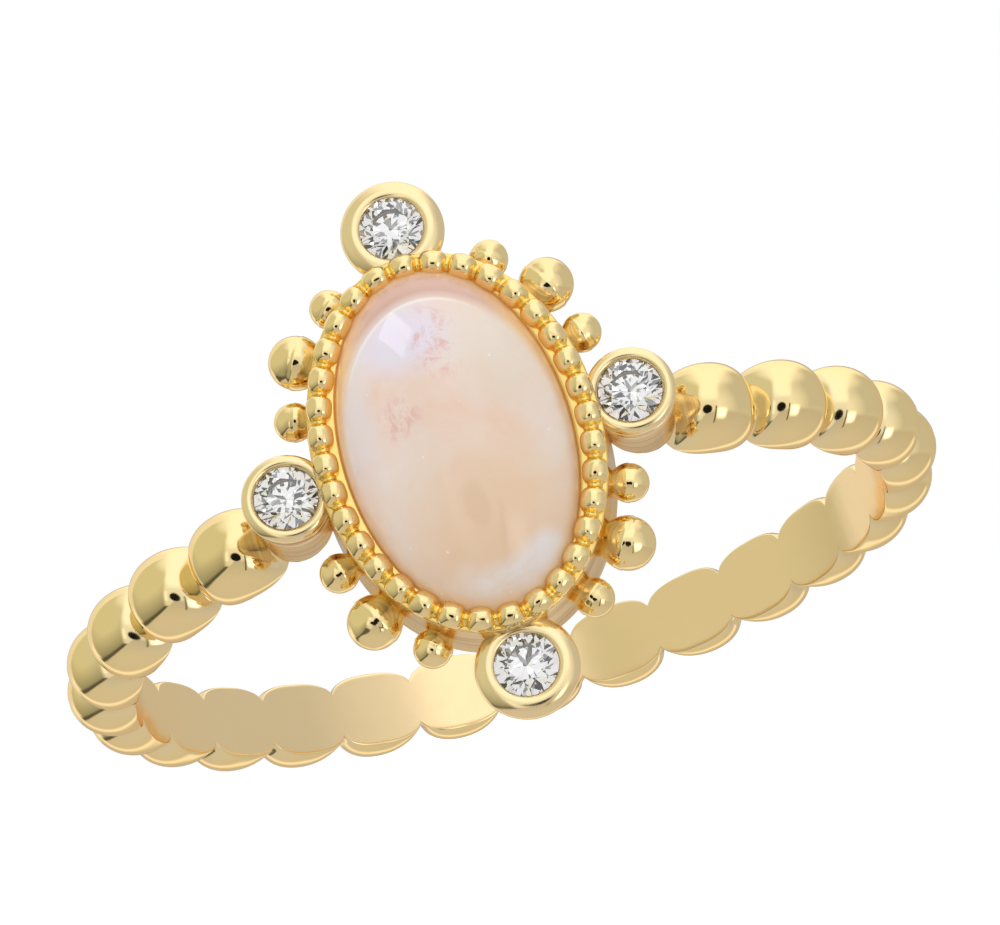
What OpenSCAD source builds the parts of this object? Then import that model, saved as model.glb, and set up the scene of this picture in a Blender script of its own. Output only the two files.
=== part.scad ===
// Moonstone ring with a beaded shank, lying on its side. Millimetres.
//
// The ring is drawn in its own directions first: the finger hole runs along Y, the head faces +Z,
// and X is the line through the two shoulders. at_rest() then lays it down as it rests by itself,
// on the lower end collet and on the bead at the back of the shank.

/* [Finger hole] */
// Inside diameter of the shank
finger_d = 17.3; // [16.5:0.1:18.1]

/* [Shank] */
// Number of half-round beads, an odd number so that one sits at the very back
bead_count = 23; // [19:2:23]
// Width of a bead, along the finger
bead_d = 1.92; // [1.8:0.02:2]
// Height of a bead's centre above the finger side
bead_lift = 0.43; // [0.35:0.01:0.55]
// Angle from one bead to the next
bead_pitch = 13.15; // [12.7:0.05:13.25]
// Width of the neck that joins the beads
neck_w = 0.94; // [0.8:0.02:1.1]
// Height of the middle of the neck's round section above the finger side
neck_lift = 0.12; // [0.05:0.01:0.2]

/* [Moonstone] */
// Length of the cabochon
stone_len = 8; // [7.8:0.1:8.2]
// Width of the cabochon
stone_w = 5; // [4.8:0.1:5.1]
// Height of the dome above the straight edge
dome_h = 2.3; // [1.8:0.1:2.8]
// Height of the straight edge under the dome
edge_h = 0.4; // [0.3:0.05:0.5]

/* [Cup] */
// Length of the cup outside, at the rim
cup_len = 8.4; // [8.3:0.05:8.6]
// Width of the cup outside, at the rim
cup_w = 6.06; // [5.9:0.02:6.2]
// How far the foot of the wall stands out beyond the rim
wall_flare = 0.08; // [0.02:0.02:0.12]
// Height of the cup's rim above the finger
rim_lift = 1.9; // [1.8:0.02:2.2]
// Height of the rim above the stone's straight edge
rim_over_edge = 0.7; // [0.5:0.05:0.8]
// Clearance between the finger and the underside of the head
underside_lift = 0.4; // [0.2:0.05:0.45]

/* [Beaded edge] */
// Number of grains round the rim
grain_count = 34; // [28:1:36]
// Diameter of a grain
grain_d = 0.53; // [0.44:0.01:0.58]
// Length of the oval on which the grains sit
grain_len = 7.88; // [7.8:0.02:8]
// Width of the oval on which the grains sit
grain_w = 5.52; // [5.44:0.02:5.66]

/* [Diamonds] */
// Diameter of a brilliant
brilliant_d = 1.4; // [1.3:0.02:1.44]
// Distance from the middle of the head to the end collets
end_reach = 4.95; // [4.85:0.05:5.1]
// Distance from the middle of the head to the shoulder collets
shoulder_reach = 3.74; // [3.68:0.02:3.84]
// Depth of the brilliants' girdles below the rim of the cup
girdle_drop = 0.32; // [0.2:0.02:0.4]

/* [Collets] */
// Outside diameter of an end collet
end_collet_d = 2.2; // [2.1:0.02:2.3]
// Thickness of the round lip of an end collet
end_lip = 0.6; // [0.5:0.02:0.66]
// Outside diameter of a shoulder collet
shoulder_collet_d = 1.9; // [1.84:0.02:1.96]
// Thickness of the round lip of a shoulder collet
shoulder_lip = 0.32; // [0.26:0.02:0.36]

/* [Granulation] */
// Diameter of the middle ball of each three
large_ball_d = 1.14; // [1:0.02:1.24]
// Diameter of the two outer balls of each three
small_ball_d = 0.82; // [0.7:0.02:0.9]
// Depth of the balls' centres below the rim of the cup
ball_drop = 0.9; // [0.8:0.05:1]

/* [Hidden] */
$fn = 64;

gold = [0.87, 0.73, 0.45];
milky = [0.94, 0.84, 0.79];
icy = [0.92, 0.94, 0.96];

bore_r = finger_d / 2;
bead_r = bead_d / 2;
bead_ring_r = bore_r + bead_lift;
beads_each_side = (bead_count - 1) / 2;

rim_z = bore_r + rim_lift;
edge_z = rim_z - rim_over_edge;
base_z = edge_z - edge_h;
girdle_z = rim_z - girdle_drop;
ball_z = rim_z - ball_drop;
underside_r = bore_r + underside_lift;

// How far the wall of the cup is drawn below the hollow of the head, which trims it
wall_below = 0.3;
// Play between a stone and the gold round it
play = 0.04;
// A length that reaches past everything it cuts
past = 30;

// Places of the collets round the head
north = [0, end_reach];
east = [shoulder_reach, 0];
south = [0, -end_reach];
west = [-shoulder_reach, 0];

// Proportions of a brilliant, as shares of its girdle radius
table_share = 0.56;
star_share = 0.76;
lower_share = 0.24;
crown_share = 0.3;
pavilion_share = 0.84;
girdle_share = 0.06;

// The lip of an end collet: the radius of its round section, and where the middle of that lies
end_lip_r = end_lip / 2;
end_lip_ring_r = end_collet_d / 2 - end_lip_r;
end_lip_z = -0.2;
// The same for a shoulder collet
shoulder_lip_r = shoulder_lip / 2;
shoulder_lip_ring_r = shoulder_collet_d / 2 - shoulder_lip_r;
shoulder_lip_z = -0.03;
// The collets' cups under the lips. The cone of an end collet meets its lip at this angle round the
// lip's section.
end_cup_depth = 1.25;
end_cup_foot_r = 0.6;
cone_top = -23;
shoulder_body_r = shoulder_collet_d / 2 - 0.03;
shoulder_foot_r = 0.78;
shoulder_foot_z = -2.4;
// Opening of a collet over its stone
opening_r = brilliant_d / 2 - 0.03;

// One quarter of the granulation: place across, place along, diameter of the ball, of its stem
granules = [
    [1.76, 3.87, small_ball_d, 0.52],
    [2.76, 2.96, large_ball_d, 0.72],
    [3.16, 1.72, small_ball_d, 0.52],
];
// A stem points at the long axis of the oval, at this share of the ball's place along it
stem_aim = 0.45;
// How far a stem runs on beyond its ball, into the wall
stem_past = 0.35;

// The tilt at which the lip of the lower end collet and the bead at the back touch one plane
contact_run = end_reach + end_lip_ring_r;
contact_rise = bead_ring_r + girdle_z + end_lip_z;
tilt = acos((bead_r - end_lip_r) / norm([contact_run, contact_rise])) - atan2(contact_rise, contact_run);
// Height of the middle of the finger hole above the surface
lift = bead_ring_r * sin(tilt) + bead_r;
// The head's reach to the front and the shank's to the back, level with the surface
front_reach = edge_z * cos(tilt) + norm([stone_len / 2 * sin(tilt), dome_h * cos(tilt)]);
back_reach = bead_ring_r * cos(tilt) + bead_r;

// Lays the ring down, with the origin under the middle of its outline
module at_rest() {
    translate([0, (front_reach - back_reach) / 2, lift])
        rotate([90 - tilt, 0, 0])
            children();
}

// Round bar along the finger hole
module finger_bar(r) {
    rotate([90, 0, 0]) cylinder(r = r, h = past, center = true);
}

module ellipse(len, w) {
    scale([w / len, 1]) circle(d = len);
}

// Half-round beads on a thin neck, from shoulder to shoulder round the back
module shank() {
    neck_turn = 2 * (180 - asin(shoulder_reach / bead_ring_r));
    difference() {
        union() {
            rotate([90, 0, 0])
                rotate([0, 0, -90 - neck_turn / 2])
                    rotate_extrude(angle = neck_turn)
                        translate([bore_r + neck_lift, 0])
                            circle(d = neck_w);
            for (i = [-beads_each_side : beads_each_side])
                rotate([0, i * bead_pitch, 0])
                    translate([0, 0, -bead_ring_r])
                        sphere(r = bead_r);
        }
        finger_bar(bore_r);
    }
}

// Oval cup, whose wall leans out a little towards the foot
module cup() {
    wall_bottom = sqrt(pow(underside_r, 2) - pow(cup_w / 2, 2)) - wall_below;
    translate([0, 0, wall_bottom])
        scale([cup_w / cup_len, 1, 1])
            cylinder(d1 = cup_len + 2 * wall_flare, d2 = cup_len, h = rim_z - wall_bottom);
}

// Eccentric angles that space n points evenly along an ellipse, the first at the upper end:
// each step turns by the mean step times the mean speed over the local speed
function speed(t, len, w) = norm([w / 2 * sin(t), len / 2 * cos(t)]);
function walk(n, len, w, k, t, step) =
    let (middle = t + step / 2 / speed(t, len, w))
    k == n ? [] : concat([t], walk(n, len, w, k + 1, t + step / speed(middle, len, w), step));
function mean_slowness(len, w, m = 360) =
    let (rates = [for (i = [0 : m - 1]) speed((i + 0.5) * 360 / m, len, w)])
    m / (rates * [for (r = rates) 1]);
function even_angles(n, len, w) = walk(n, len, w, 0, 90, 360 / n / mean_slowness(len, w));

// Row of round grains along the rim, sunk into it a little less than half way
module beaded_edge() {
    for (t = even_angles(grain_count, grain_len, grain_w))
        translate([grain_w / 2 * cos(t), grain_len / 2 * sin(t), rim_z + grain_d / 8])
            sphere(d = grain_d);
}

// Thick round collet at an end of the oval
module end_collet() {
    rotate_extrude() {
        translate([end_lip_ring_r, end_lip_z]) circle(r = end_lip_r);
        polygon([
            [0, -end_cup_depth],
            [end_cup_foot_r, -end_cup_depth],
            [end_lip_ring_r + end_lip_r * cos(cone_top), end_lip_z + end_lip_r * sin(cone_top)],
            [end_lip_ring_r, end_lip_z + end_lip_r],
            [0, end_lip_z + end_lip_r],
        ]);
    }
}

// Tall round collet on a shoulder, with a thin lip
module shoulder_collet() {
    rotate_extrude() {
        translate([shoulder_lip_ring_r, shoulder_lip_z]) circle(r = shoulder_lip_r);
        polygon([
            [0, shoulder_foot_z],
            [shoulder_foot_r, shoulder_foot_z],
            [shoulder_body_r, shoulder_lip_z],
            [shoulder_lip_ring_r, shoulder_lip_z + shoulder_lip_r],
            [0, shoulder_lip_z + shoulder_lip_r],
        ]);
    }
}

// Ball on a short stem that runs into the wall of the cup
module granule(x, y, ball_d, stem_d) {
    aim = [0, stem_aim * y];
    run = aim - [x, y];
    translate([x, y, ball_z]) {
        sphere(d = ball_d);
        rotate([0, 0, atan2(run[1], run[0])])
            rotate([0, 90, 0])
                cylinder(d = stem_d, h = ball_d / 2 + stem_past);
    }
}

module granulation() {
    for (sx = [-1, 1], sy = [-1, 1], g = granules)
        granule(sx * g[0], sy * g[1], g[2], g[3]);
}

// Seat of a brilliant: the stone's own outline with play round it, open above
module seat() {
    r = brilliant_d / 2;
    deep = pavilion_share * r;
    rotate_extrude()
        polygon([
            [0, -deep - 2 * play],
            [play, -deep - 2 * play],
            [r + play, -play],
            [r + play, girdle_share * r + play],
            [opening_r, girdle_share * r + 2 * play],
            [opening_r, past / 10],
            [0, past / 10],
        ]);
}

// Cabochon with an oval base, a straight edge and an elliptical dome
module cabochon(extra) {
    translate([0, 0, base_z - extra])
        linear_extrude(edge_h + extra)
            ellipse(stone_len + 2 * extra, stone_w + 2 * extra);
    intersection() {
        translate([0, 0, edge_z])
            scale([stone_w / 2 + extra, stone_len / 2 + extra, dome_h + extra])
                sphere(r = 1);
        translate([0, 0, edge_z - edge_h / 2 + past / 2]) cube(past, center = true);
    }
}

module at_collet(place) {
    translate([place[0], place[1], girdle_z]) children();
}

// All the gold, soldered into one piece
module gold_mount() {
    color(gold)
        at_rest()
            union() {
                shank();
                difference() {
                    union() {
                        cup();
                        beaded_edge();
                        granulation();
                        for (place = [north, south]) at_collet(place) end_collet();
                        for (place = [east, west]) at_collet(place) shoulder_collet();
                    }
                    finger_bar(underside_r);
                    cabochon(play);
                    for (place = [north, east, south, west]) at_collet(place) seat();
                }
            }
}

module moonstone() {
    color(milky) at_rest() cabochon(0);
}

// Ring of points at one height: n of them, the first at angle a0
function ring(n, r, z, a0 = 0) =
    [for (i = [0 : n - 1]) let (a = a0 + i * 360 / n) [r * cos(a), r * sin(a), z]];

// Round brilliant: table, 8 stars, 8 kites and 16 upper facets on the crown, a girdle of 16 sides,
// 16 lower facets and 8 mains on the pavilion. Each kite lies in one plane, and so does each main.
module brilliant() {
    r = brilliant_d / 2;
    top = girdle_share * r;
    crown = crown_share * r;
    deep = pavilion_share * r;
    half = 22.5;
    star_z = top + crown * (1 - star_share * cos(half)) / (1 - table_share);
    lower_z = -deep * (1 - lower_share * cos(half));
    points = concat(
        ring(8, table_share * r, top + crown),
        ring(8, star_share * r, star_z, half),
        ring(16, r, top),
        ring(16, r, 0),
        ring(8, lower_share * r, lower_z, half),
        [[0, 0, -deep]]
    );
    table = 0;
    star = 8;
    upper = 16;
    under = 32;
    low = 48;
    culet = 56;
    faces = concat(
        [[for (i = [7 : -1 : 0]) table + i]],
        [for (i = [0 : 7]) [table + i, table + (i + 1) % 8, star + i]],
        [for (i = [0 : 7]) [table + i, star + i, upper + 2 * i, star + (i + 7) % 8]],
        [for (i = [0 : 7]) [star + i, upper + 2 * i + 1, upper + 2 * i]],
        [for (i = [0 : 7]) [star + i, upper + (2 * i + 2) % 16, upper + 2 * i + 1]],
        [for (i = [0 : 15]) [upper + i, upper + (i + 1) % 16, under + (i + 1) % 16, under + i]],
        [for (i = [0 : 7]) [low + i, under + 2 * i, under + 2 * i + 1]],
        [for (i = [0 : 7]) [low + i, under + 2 * i + 1, under + (2 * i + 2) % 16]],
        [for (i = [0 : 7]) [culet, low + (i + 7) % 8, under + 2 * i, low + i]]
    );
    polyhedron(points = points, faces = faces, convexity = 2);
}

module diamond(place) {
    color(icy) at_rest() at_collet(place) brilliant();
}

module diamond_north() {
    diamond(north);
}

module diamond_east() {
    diamond(east);
}

module diamond_south() {
    diamond(south);
}

module diamond_west() {
    diamond(west);
}

gold_mount();
moonstone();
diamond_north();
diamond_east();
diamond_south();
diamond_west();
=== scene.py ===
import bpy
import numpy as np
from mathutils import Matrix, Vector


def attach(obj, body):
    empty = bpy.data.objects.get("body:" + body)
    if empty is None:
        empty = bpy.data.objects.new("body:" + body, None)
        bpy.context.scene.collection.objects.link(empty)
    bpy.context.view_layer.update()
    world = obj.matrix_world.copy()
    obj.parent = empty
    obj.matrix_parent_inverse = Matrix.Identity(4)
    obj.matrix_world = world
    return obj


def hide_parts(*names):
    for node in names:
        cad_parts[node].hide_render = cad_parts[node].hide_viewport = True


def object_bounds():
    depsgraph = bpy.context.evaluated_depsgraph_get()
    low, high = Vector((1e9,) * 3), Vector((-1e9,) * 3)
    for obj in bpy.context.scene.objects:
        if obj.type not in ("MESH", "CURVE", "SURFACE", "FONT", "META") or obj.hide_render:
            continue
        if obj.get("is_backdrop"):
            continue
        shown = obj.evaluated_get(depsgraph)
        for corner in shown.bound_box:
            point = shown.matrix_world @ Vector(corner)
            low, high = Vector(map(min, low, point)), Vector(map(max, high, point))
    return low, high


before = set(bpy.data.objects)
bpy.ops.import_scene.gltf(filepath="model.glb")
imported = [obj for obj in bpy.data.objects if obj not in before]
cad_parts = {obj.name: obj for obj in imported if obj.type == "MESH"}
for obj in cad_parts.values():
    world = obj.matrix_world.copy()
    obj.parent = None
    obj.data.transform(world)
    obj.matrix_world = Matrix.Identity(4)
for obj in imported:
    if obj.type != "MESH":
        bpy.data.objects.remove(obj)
cad_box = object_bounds()


# Shank: cast and polished yellow gold. Half-round beads follow each other round the finger and meet in
# narrow grooves; the finger side is cut flat, with a small rounded lip along the lobes.

# Sizes are millimetres in the ring's own directions: X across the shoulders, Y along the finger and
# Z towards the head, from the middle of the finger hole. The ring then leans back by its tilt.
MM = 0.001
TILT = np.radians(14.8507)
LAID_AT = np.array([0.0, 1.11623, 3.28722])

# The middles of the beads lie BEAD_LIFT outside the finger hole, and in the grooves the shank narrows to
# a radius and lift of their own. It runs up to SHANK_END on each side, from the side away from the head.
BORE_R = 8.65
BEADS = 23
BEAD_TURN = np.radians(13.15)
BEAD_R = 0.96
BEAD_LIFT = 0.43
GROOVE_R = 0.46
GROOVE_LIFT = 0.12
SHANK_END = np.radians(155.0)
LOBE_REACH = 1.14
LOBE_SQUARENESS = 2.3
BEAD_ROWS = 44
END_ROWS = 6
FLAT_POINTS = 16
ROUND_POINTS = 26


def laid_down(p):
    """Points in the ring's own directions, in mm, to the resting ring's place in metres: turned
    about X so that the finger axis leans back by the tilt, then moved to where the ring lies."""
    x, y, z = p[..., 0], p[..., 1], p[..., 2]
    s, c = np.sin(TILT), np.cos(TILT)
    return (np.stack([x, y * s - z * c, y * c + z * s], -1) + LAID_AT) * MM


def corners_of(grid, first, loop):
    """Quads and triangles over one grid of points (rows, columns, 3). Columns close on themselves.
    Rows do too if loop is true; otherwise a fan round a last-but-one and a last extra point closes
    each end. The order is turned round where the enclosed volume comes out negative."""
    rows, cols = grid.shape[:2]
    at = first + np.arange(rows * cols).reshape(rows, cols)
    side = np.roll(at, -1, axis=1)
    points = grid.reshape(-1, 3)
    if loop:
        quads = np.stack([at, side, np.roll(side, -1, axis=0), np.roll(at, -1, axis=0)], -1)
        tris = np.zeros((0, 3), int)
    else:
        quads = np.stack([at[:-1], side[:-1], side[1:], at[1:]], -1)
        points = np.vstack([points, grid[0].mean(0), grid[-1].mean(0)])
        low = np.full(cols, first + rows * cols)
        tris = np.vstack([np.stack([side[0], at[0], low], -1),
                          np.stack([at[-1], side[-1], low + 1], -1)])
    quads = quads.reshape(-1, 4)
    halves = np.vstack([quads[:, [0, 1, 2]], quads[:, [0, 2, 3]], tris]) - first
    a, b, c = (points[halves[:, k]] for k in range(3))
    if np.einsum("ij,ij->", a, np.cross(b, c)) < 0:
        quads, tris = quads[:, ::-1], tris[:, ::-1]
    return points, quads, tris


def put_in(name, grids, materials, stands_for, loop=False, finish=None):
    """One piece from closed grids of points in mm, in the ring's own directions. Finish numbers the
    material of each quad (rows, columns) of a single grid; the fans that close it take the nearest."""
    points, quads, tris, first = [], [], [], 0
    for grid in grids:
        p, q, t = corners_of(grid, first, loop)
        points.append(p)
        quads.append(q)
        tris.append(t)
        first += len(p)
    piece = put_in_faces(name, np.vstack(points), np.vstack(quads), np.vstack(tris), materials,
                         stands_for)
    if finish is not None:
        numbers = np.concatenate([finish.ravel(), finish[0], finish[-1]])
        piece.data.polygons.foreach_set("material_index", numbers.astype(np.int32))
    return piece


def put_in_faces(name, points, quads, tris, materials, stands_for, smooth=True):
    """One piece from its points in mm and the corner numbers of its quads and triangles."""
    mesh = bpy.data.meshes.new(name)
    mesh.vertices.add(len(points))
    mesh.vertices.foreach_set("co", laid_down(points).astype(np.float32).ravel())
    corners = np.concatenate([quads.ravel(), tris.ravel()]).astype(np.int32)
    starts = np.concatenate([np.arange(len(quads)) * 4, quads.size + np.arange(len(tris)) * 3])
    mesh.loops.add(len(corners))
    mesh.loops.foreach_set("vertex_index", corners)
    mesh.polygons.add(len(starts))
    mesh.polygons.foreach_set("loop_start", starts.astype(np.int32))
    mesh.polygons.foreach_set("use_smooth", np.full(len(starts), smooth))
    mesh.update(calc_edges=True)
    mesh.validate()
    for material in materials:
        mesh.materials.append(material)
    piece = bpy.data.objects.new(name, mesh)
    bpy.context.collection.objects.link(piece)
    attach(piece, "root")
    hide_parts(stands_for)
    return piece


def node(tree, kind, settings=None, **wires):
    """A new node. Settings are its properties. Wires are its inputs, by name or as i and a number,
    and each takes a socket or a value."""
    made = tree.nodes.new(kind)
    for key, value in (settings or {}).items():
        setattr(made, key, value)
    for key, value in wires.items():
        numbered = key[0] == "i" and key[1:].isdigit()
        socket = made.inputs[int(key[1:]) if numbered else key.replace("_", " ")]
        if isinstance(value, bpy.types.NodeSocket):
            tree.links.new(value, socket)
        else:
            socket.default_value = value
    return made


def ramp(tree, factor, stops, ease="LINEAR"):
    """A colour ramp through stops, which are (place, colour) pairs."""
    made = node(tree, "ShaderNodeValToRGB", i0=factor)
    made.color_ramp.interpolation = ease
    while len(made.color_ramp.elements) < len(stops):
        made.color_ramp.elements.new(0.5)
    for element, (place, colour) in zip(made.color_ramp.elements, stops):
        element.position = place
        element.color = colour if hasattr(colour, "__len__") else (colour, colour, colour, 1)
    return made.outputs["Color"]


def vector_math(tree, operation, *terms):
    """Result of an operation on vectors: a number for DOT_PRODUCT and LENGTH, otherwise a vector."""
    wires = {f"i{k}": term for k, term in enumerate(terms)}
    made = node(tree, "ShaderNodeVectorMath", {"operation": operation}, **wires)
    return made.outputs["Value" if operation in ("DOT_PRODUCT", "LENGTH") else "Vector"]


def both(tree, one, other):
    """Product of two masks or values."""
    return node(tree, "ShaderNodeMath", {"operation": "MULTIPLY"}, i0=one, i1=other).outputs[0]


def blend(tree, mask, under, over):
    """One value, and another where the mask is 1."""
    return node(tree, "ShaderNodeMix", {"data_type": "FLOAT"}, i0=mask, i2=under, i3=over).outputs[0]


def laid_over(tree, mask, under, over):
    """One colour, and another where the mask is 1."""
    return node(tree, "ShaderNodeMix", {"data_type": "RGBA"}, i0=mask, i6=under, i7=over).outputs[2]


def new_group(name, sockets):
    """A shader node group with an Output for each (name, socket type), and the node that feeds them."""
    group = bpy.data.node_groups.new(name, "ShaderNodeTree")
    for label, kind in sockets:
        group.interface.new_socket(name=label, in_out="OUTPUT", socket_type=kind)
    return group, group.nodes.new("NodeGroupOutput")


def own_directions(tree):
    """Object coordinates turned into the ring's own directions, in mm."""
    at = node(tree, "ShaderNodeTexCoord").outputs["Object"]
    place = vector_math(tree, "SUBTRACT", at, tuple(LAID_AT * MM))
    s, c = np.sin(TILT), np.cos(TILT)
    x, y, z = (vector_math(tree, "DOT_PRODUCT", place, tuple(np.array(axis) / MM))
               for axis in ((1, 0, 0), (0, s, c), (0, -c, s)))
    return node(tree, "ShaderNodeCombineXYZ", X=x, Y=y, Z=z).outputs[0]


def gold_finish(name, pale, rich, smooth, dull, grain, depth, wave=0.004, streaky=0.0):
    """Gold whose colour drifts between two tones, with roughness that drifts from smooth to dull, a
    slow wave left by hand polishing, and fine lines. Grain is how often the lines come per mm along
    X, Y and Z. Depth is that of the lines, and wave that of the wave, in mm. Streaky is the share of
    the colour's drift that follows the lines."""
    group, out = new_group(name, [("Color", "NodeSocketColor"), ("Roughness", "NodeSocketFloat"),
                                  ("Normal", "NodeSocketVector")])
    at = own_directions(group)
    stretched = vector_math(group, "MULTIPLY", at, grain)
    fine = node(group, "ShaderNodeTexNoise", Vector=stretched, Scale=1.0, Detail=3.0)
    drift = node(group, "ShaderNodeTexNoise", Vector=at, Scale=0.9, Detail=4.0)
    lined = ramp(group, fine.outputs["Fac"], [(0.38, 0.0), (0.62, 1.0)])
    tone = laid_over(group, blend(group, streaky, drift.outputs["Fac"], lined), pale, rich)
    cloud = node(group, "ShaderNodeTexNoise", Vector=at, Scale=3.1, Detail=3.0)
    rough = node(group, "ShaderNodeMapRange", Value=cloud.outputs["Fac"], From_Min=0.3, From_Max=0.7,
                 To_Min=smooth, To_Max=dull)
    slow = node(group, "ShaderNodeTexNoise", Vector=at, Scale=1.6, Detail=1.5)
    normal = node(group, "ShaderNodeBump", Strength=0.5, Distance=wave * MM, Height=slow.outputs["Fac"])
    lines = node(group, "ShaderNodeBump", Strength=0.6, Distance=depth * MM, Height=fine.outputs["Fac"],
                 Normal=normal.outputs[0])
    group.links.new(tone, out.inputs["Color"])
    group.links.new(rough.outputs[0], out.inputs["Roughness"])
    group.links.new(lines.outputs[0], out.inputs["Normal"])
    return group


def new_material(name):
    """A material with nodes, its tree, and the Principled BSDF in it."""
    material = bpy.data.materials.new(name)
    material.use_nodes = True
    return material, material.node_tree, material.node_tree.nodes["Principled BSDF"]


def gold_material(name, group, in_gaps=None):
    """A metal that takes its colour, roughness and normal from a finish group. Where the mesh's own
    gap attribute is 1, the polish did not reach, so the gold is rougher, and it has the colour in_gaps,
    a painted tone that stands for how the gold mirrors itself there."""
    material, tree, metal = new_material(name)
    metal.inputs["Metallic"].default_value = 1
    metal.inputs["Specular Tint"].default_value = LIMB
    use = tree.nodes.new("ShaderNodeGroup")
    use.node_tree = group
    colour, rough = use.outputs["Color"], use.outputs["Roughness"]
    if in_gaps:
        gap = node(tree, "ShaderNodeAttribute", {"attribute_name": "gap"}).outputs["Fac"]
        colour = laid_over(tree, gap, colour, in_gaps)
        rough = node(tree, "ShaderNodeMath", {"operation": "MULTIPLY_ADD"}, i0=gap, i1=DULLER,
                     i2=rough).outputs[0]
    tree.links.new(colour, metal.inputs["Base Color"])
    tree.links.new(rough, metal.inputs["Roughness"])
    tree.links.new(use.outputs["Normal"], metal.inputs["Normal"])
    return material


# LIMB tints what the gold mirrors at a grazing angle. The gold's colour in the grooves, next, is a paler,
# less orange tone, painted to tone down the orange of the gold mirroring itself there; DULLER is how much
# rougher it is there.
LIMB = (1.0, 0.88, 0.7, 1)
PAINTED_GROOVE_TONE = (0.95, 0.79, 0.46, 1)
DULLER = 0.06
PALE = (0.99, 0.80, 0.41, 1)
RICH = (0.97, 0.76, 0.37, 1)
shine = gold_finish("Polished gold", PALE, RICH, smooth=0.03, dull=0.08, grain=(9, 60, 14), depth=0.0003)
beads_gold = gold_material("bead_gold", shine, in_gaps=PAINTED_GROOVE_TONE)
SATIN_PALE = (1.0, 0.78, 0.45, 1)
SATIN_RICH = (1.0, 0.76, 0.42, 1)
satin_finish = gold_finish("Satin gold", SATIN_PALE, SATIN_RICH, smooth=0.13, dull=0.2,
                           grain=(2, 30, 2), depth=0.0003, wave=0.008)
satin = gold_material("satin_gold", satin_finish)


def bunched(n):
    """n places from -1 up to 1, closer together towards both ends."""
    return np.sin(np.pi / 2 * (2 * np.arange(n) / n - 1))


def rounded_row(place, full, least, reach, squareness, crisp=9):
    """Half width of a row of rounded forms on a thin wire, at a place from -1 to 1 between the
    middles of two gaps: a superellipse as wide as full that would close at reach, joined to the
    wire by a smooth maximum, which is crisper for a higher power."""
    form = full * np.maximum(1 - np.abs(place / reach) ** squareness, 0) ** (1 / squareness)
    return (form ** crisp + least ** crisp) ** (1 / crisp)


def shank():
    """Grid of the shank: the rows are sections turned round the finger axis. A section is the
    smooth minimum of a round outside, whose width and top follow the row of beads, and of the
    flat finger side. Its points are counted by angle from a middle inside it, 0 towards the
    finger, and gather at the lip between the two."""
    last = (BEADS - 1) // 2
    place = np.tile(bunched(BEAD_ROWS), BEADS)
    turn = (np.arange(-last, last + 1).repeat(BEAD_ROWS) + place / 2) * BEAD_TURN
    wide = rounded_row(place, BEAD_R, GROOVE_R, LOBE_REACH, LOBE_SQUARENESS, crisp=30)
    reach = BEAD_R / (BEAD_TURN / 2 * (BORE_R + BEAD_LIFT))
    groove_top = GROOVE_LIFT + GROOVE_R - BEAD_LIFT
    top = BEAD_LIFT + rounded_row(place, BEAD_R, groove_top, reach, squareness=2, crisp=4)
    ends = np.linspace((last + 0.5) * BEAD_TURN, SHANK_END, END_ROWS)
    turn = np.concatenate([-ends[:0:-1], turn, ends])[:, None]
    wide = np.pad(wide, (END_ROWS - 1, END_ROWS), constant_values=wide[0])[:, None]
    top = np.pad(top, (END_ROWS - 1, END_ROWS), constant_values=top[0])[:, None]
    middle = 0.31 * top
    lift = top - wide
    lip = np.arctan2(np.sqrt(wide ** 2 - lift ** 2), middle)
    u, v = np.arange(FLAT_POINTS) / FLAT_POINTS, np.arange(ROUND_POINTS) / ROUND_POINTS
    side = np.concatenate([lip * (1 - (1 - u) ** 1.7), lip + (np.pi - lip) * v ** 1.5], 1)
    around = np.concatenate([side, 2 * np.pi - side[:, :0:-1]], 1)
    facing = np.cos(around)
    least, far = 0.02, 50.0
    flat = np.where(facing > least, middle / np.maximum(facing, least), far)
    off = lift - middle
    outside = np.sqrt(wide ** 2 - (off * np.sin(around)) ** 2) - off * facing
    crisp = 30
    out = (outside ** -crisp + flat ** -crisp) ** (-1 / crisp)
    from_axis = BORE_R + middle - out * facing
    return np.stack([from_axis * np.sin(turn), out * np.sin(around), -from_axis * np.cos(turn)], -1)


band = shank()
finger_side = np.zeros((len(band) - 1, band.shape[1]), int)
finger_side[:, :FLAT_POINTS - 1] = finger_side[:, 1 - FLAT_POINTS:] = 1
row_of_beads = put_in("shank", [band], [beads_gold, satin], "gold_mount", finish=finger_side)


def mark_gaps(piece, nearness, across, copies=1):
    """Gives the sections of a piece their gap attribute. A section has so many points across, and the
    points that close the ends take the nearest value. Copies is how many grids the piece has."""
    gap = np.concatenate([np.repeat(nearness, across), nearness[[0, -1]]])
    gap = np.tile(gap[:len(piece.data.vertices) // copies], copies)
    piece.data.attributes.new("gap", "FLOAT", "POINT").data.foreach_set("value", gap)


def rising(value, start, end):
    """0 up to start, then evenly up to 1 at end."""
    return np.clip((value - start) / (end - start), 0, 1)


nearness = rising(np.abs(np.tile(bunched(BEAD_ROWS), BEADS)), 0.55, 0.9)
nearness = np.pad(nearness, (END_ROWS - 1, END_ROWS), constant_values=1)
mark_gaps(row_of_beads, nearness, band.shape[1])


# Cup: an upright oval wall with a floor, brushed round the outside, that holds the moonstone. It leans
# out a little towards its foot, and the underside is hollowed to clear the finger.
CUP = np.array([3.03, 4.2])
RIM_Z = 10.55
RIM_ROUND = 0.05
FOOT_ROUND = 0.045
OVAL_POINTS = 288

# At WALL_FOOT_Z the wall is wider than at the rim by the share WALL_FLARE. UNDER_R is the radius of the
# hollow underneath, round the finger axis.
WALL_FOOT_Z = 8.228
WALL_FLARE = 0.08 / 4.2
UNDER_R = 9.05

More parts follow.
